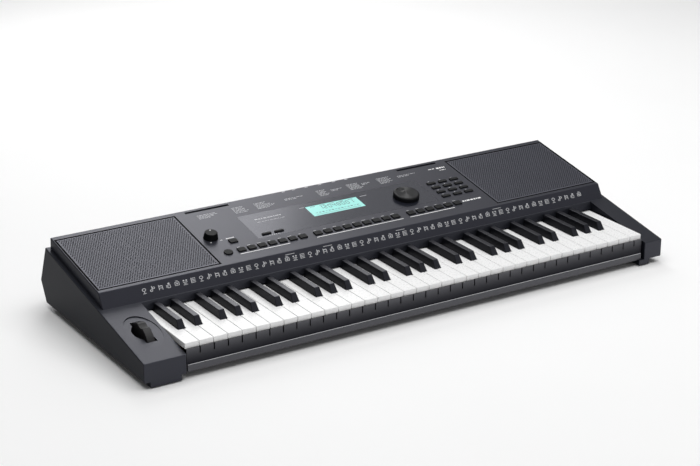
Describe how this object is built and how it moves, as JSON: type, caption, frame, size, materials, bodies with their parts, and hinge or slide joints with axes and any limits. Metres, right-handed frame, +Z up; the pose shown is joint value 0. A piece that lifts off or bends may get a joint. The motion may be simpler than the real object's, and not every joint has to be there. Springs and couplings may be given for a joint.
{
  "type": "arranger keyboard",
  "caption": "Portable electronic keyboard with a sloped control panel, side speakers, display, data dial, keypad, buttons and a pitch wheel beside the hinged keys.",
  "frame": {"origin": "on the floor under the middle of the case", "axes": "+X to the player's right along the keys, +Y away from the player to the back, +Z up"},
  "size_m": [0.954, 0.368, 0.1227],
  "materials": {
    "case_plastic": "satin charcoal moulding",
    "panel_plastic": "satin charcoal moulding",
    "grille_mesh": "fine perforated sheet, satin grey",
    "display_gloss": "polished dark panel",
    "lcd_glass": "pale turquoise display",
    "white_key": "polished off-white",
    "black_key": "satin black",
    "button_rubber": "soft dark grey",
    "knob_plastic": "satin black",
    "dial_gloss": "polished black",
    "wheel_rubber": "soft black",
    "circuit_board": "green solder mask",
    "steel": "zinc plated",
    "ferrite": "dull dark grey",
    "cone_paper": "pressed black paper",
    "felt": "red felt",
    "inner_plastic": "plain black",
    "foot_rubber": "soft black"
  },
  "bodies": {
    "case": {"bottom_case": "case_plastic", "left_end_block": "case_plastic", "right_end_block": "case_plastic", "front_rail": "case_plastic", "key_cover_strip": "case_plastic", "key_frame": "case_plastic", "upper_case": "panel_plastic", "left_grille": "grille_mesh", "right_grille": "grille_mesh", "display_window": "display_gloss", "lcd_module": "lcd_glass", "button_pads": "button_rubber", "contact_strip": "button_rubber", "contact_board": "circuit_board", "panel_board": "circuit_board", "main_board": "circuit_board", "key_pivot_rod": "steel", "key_springs": "steel", "speaker_baskets": "steel", "speaker_screws": "steel", "case_screws": "steel", "keybed_screws": "steel", "board_screws": "steel", "wheel_spring": "steel", "usb_socket": "steel", "speaker_magnets": "ferrite", "speaker_cones": "cone_paper", "key_stop_felt": "felt", "volume_pot": "inner_plastic", "dial_encoder": "inner_plastic", "wheel_bracket": "inner_plastic", "wheel_sensor": "inner_plastic", "phones_jack": "inner_plastic", "pedal_jack": "inner_plastic", "dc_inlet": "inner_plastic", "ribbon_cable": "inner_plastic", "rubber_feet": "foot_rubber"},
    "key_c": {"key_c": "white_key"},
    "key_c_sharp": {"key_c_sharp": "black_key"},
    "key_d": {"key_d": "white_key"},
    "key_d_sharp": {"key_d_sharp": "black_key"},
    "key_e": {"key_e": "white_key"},
    "key_f": {"key_f": "white_key"},
    "key_f_sharp": {"key_f_sharp": "black_key"},
    "key_g": {"key_g": "white_key"},
    "key_g_sharp": {"key_g_sharp": "black_key"},
    "key_a": {"key_a": "white_key"},
    "key_a_sharp": {"key_a_sharp": "black_key"},
    "key_b": {"key_b": "white_key"},
    "key_top_c": {"key_top_c": "white_key"},
    "left_row_buttons": {"left_row_buttons": "button_rubber"},
    "middle_row_buttons": {"middle_row_buttons": "button_rubber"},
    "right_row_buttons": {"right_row_buttons": "button_rubber"},
    "square_button": {"square_button": "button_rubber"},
    "round_button": {"round_button": "button_rubber"},
    "slim_buttons": {"slim_buttons": "button_rubber"},
    "keypad_buttons": {"keypad_buttons": "button_rubber"},
    "volume_knob": {"volume_knob": "knob_plastic"},
    "data_dial": {"data_dial": "dial_gloss"},
    "pitch_wheel": {"pitch_wheel": "wheel_rubber"}
  },
  "joints": [
    {"name": "key_c_press", "type": "hinge", "parent": "case", "child": "key_c", "pos_m": [0.016, 0.03001, 0.047], "axis": [1, 0, 0], "range_deg": [0, 2.8], "stiffness_Nm_per_rad": 5, "springref_deg": -8.59},
    {"name": "key_c_sharp_press", "type": "hinge", "parent": "case", "child": "key_c_sharp", "pos_m": [0.016, 0.03001, 0.047], "axis": [1, 0, 0], "range_deg": [0, 2.8], "stiffness_Nm_per_rad": 5, "springref_deg": -8.59},
    {"name": "key_d_press", "type": "hinge", "parent": "case", "child": "key_d", "pos_m": [0.016, 0.03001, 0.047], "axis": [1, 0, 0], "range_deg": [0, 2.8], "stiffness_Nm_per_rad": 5, "springref_deg": -8.59},
    {"name": "key_d_sharp_press", "type": "hinge", "parent": "case", "child": "key_d_sharp", "pos_m": [0.016, 0.03001, 0.047], "axis": [1, 0, 0], "range_deg": [0, 2.8], "stiffness_Nm_per_rad": 5, "springref_deg": -8.59},
    {"name": "key_e_press", "type": "hinge", "parent": "case", "child": "key_e", "pos_m": [0.016, 0.03001, 0.047], "axis": [1, 0, 0], "range_deg": [0, 2.8], "stiffness_Nm_per_rad": 5, "springref_deg": -8.59},
    {"name": "key_f_press", "type": "hinge", "parent": "case", "child": "key_f", "pos_m": [0.016, 0.03001, 0.047], "axis": [1, 0, 0], "range_deg": [0, 2.8], "stiffness_Nm_per_rad": 5, "springref_deg": -8.59},
    {"name": "key_f_sharp_press", "type": "hinge", "parent": "case", "child": "key_f_sharp", "pos_m": [0.016, 0.03001, 0.047], "axis": [1, 0, 0], "range_deg": [0, 2.8], "stiffness_Nm_per_rad": 5, "springref_deg": -8.59},
    {"name": "key_g_press", "type": "hinge", "parent": "case", "child": "key_g", "pos_m": [0.016, 0.03001, 0.047], "axis": [1, 0, 0], "range_deg": [0, 2.8], "stiffness_Nm_per_rad": 5, "springref_deg": -8.59},
    {"name": "key_g_sharp_press", "type": "hinge", "parent": "case", "child": "key_g_sharp", "pos_m": [0.016, 0.03001, 0.047], "axis": [1, 0, 0], "range_deg": [0, 2.8], "stiffness_Nm_per_rad": 5, "springref_deg": -8.59},
    {"name": "key_a_press", "type": "hinge", "parent": "case", "child": "key_a", "pos_m": [0.016, 0.03001, 0.047], "axis": [1, 0, 0], "range_deg": [0, 2.8], "stiffness_Nm_per_rad": 5, "springref_deg": -8.59},
    {"name": "key_a_sharp_press", "type": "hinge", "parent": "case", "child": "key_a_sharp", "pos_m": [0.016, 0.03001, 0.047], "axis": [1, 0, 0], "range_deg": [0, 2.8], "stiffness_Nm_per_rad": 5, "springref_deg": -8.59},
    {"name": "key_b_press", "type": "hinge", "parent": "case", "child": "key_b", "pos_m": [0.016, 0.03001, 0.047], "axis": [1, 0, 0], "range_deg": [0, 2.8], "stiffness_Nm_per_rad": 5, "springref_deg": -8.59},
    {"name": "key_top_c_press", "type": "hinge", "parent": "case", "child": "key_top_c", "pos_m": [0.016, 0.03001, 0.047], "axis": [1, 0, 0], "range_deg": [0, 2.8], "stiffness_Nm_per_rad": 1, "springref_deg": -8.59},
    {"name": "left_row_buttons_press", "type": "slide", "parent": "case", "child": "left_row_buttons", "axis": [0, 0.1781, -0.984], "range_m": [0, 0.0012], "stiffness_N_per_m": 2800, "springref_m": -0.001},
    {"name": "middle_row_buttons_press", "type": "slide", "parent": "case", "child": "middle_row_buttons", "axis": [0, 0.1781, -0.984], "range_m": [0, 0.0012], "stiffness_N_per_m": 3600, "springref_m": -0.001},
    {"name": "right_row_buttons_press", "type": "slide", "parent": "case", "child": "right_row_buttons", "axis": [0, 0.1781, -0.984], "range_m": [0, 0.0012], "stiffness_N_per_m": 2400, "springref_m": -0.001},
    {"name": "square_button_press", "type": "slide", "parent": "case", "child": "square_button", "axis": [0, 0.1781, -0.984], "range_m": [0, 0.0012], "stiffness_N_per_m": 400, "springref_m": -0.001},
    {"name": "round_button_press", "type": "slide", "parent": "case", "child": "round_button", "axis": [0, 0.1781, -0.984], "range_m": [0, 0.0012], "stiffness_N_per_m": 400, "springref_m": -0.001},
    {"name": "slim_buttons_press", "type": "slide", "parent": "case", "child": "slim_buttons", "axis": [0, 0.1781, -0.984], "range_m": [0, 0.0012], "stiffness_N_per_m": 800, "springref_m": -0.001},
    {"name": "keypad_buttons_press", "type": "slide", "parent": "case", "child": "keypad_buttons", "axis": [0, 0.1781, -0.984], "range_m": [0, 0.0012], "stiffness_N_per_m": 4800, "springref_m": -0.001},
    {"name": "volume_turn", "type": "hinge", "parent": "case", "child": "volume_knob", "pos_m": [-0.2395, 0.06019, 0.10624], "axis": [0, -0.1781, 0.984], "range_deg": [-140, 140]},
    {"name": "dial_turn", "type": "hinge", "parent": "case", "child": "data_dial", "pos_m": [0.127, 0.06019, 0.10624], "axis": [0, -0.1781, 0.984], "continuous": true},
    {"name": "pitch_bend", "type": "hinge", "parent": "case", "child": "pitch_wheel", "pos_m": [-0.4395, -0.10355, 0.03237], "axis": [1, 0, 0], "range_deg": [-30, 30], "stiffness_Nm_per_rad": 0.1}
  ]
}
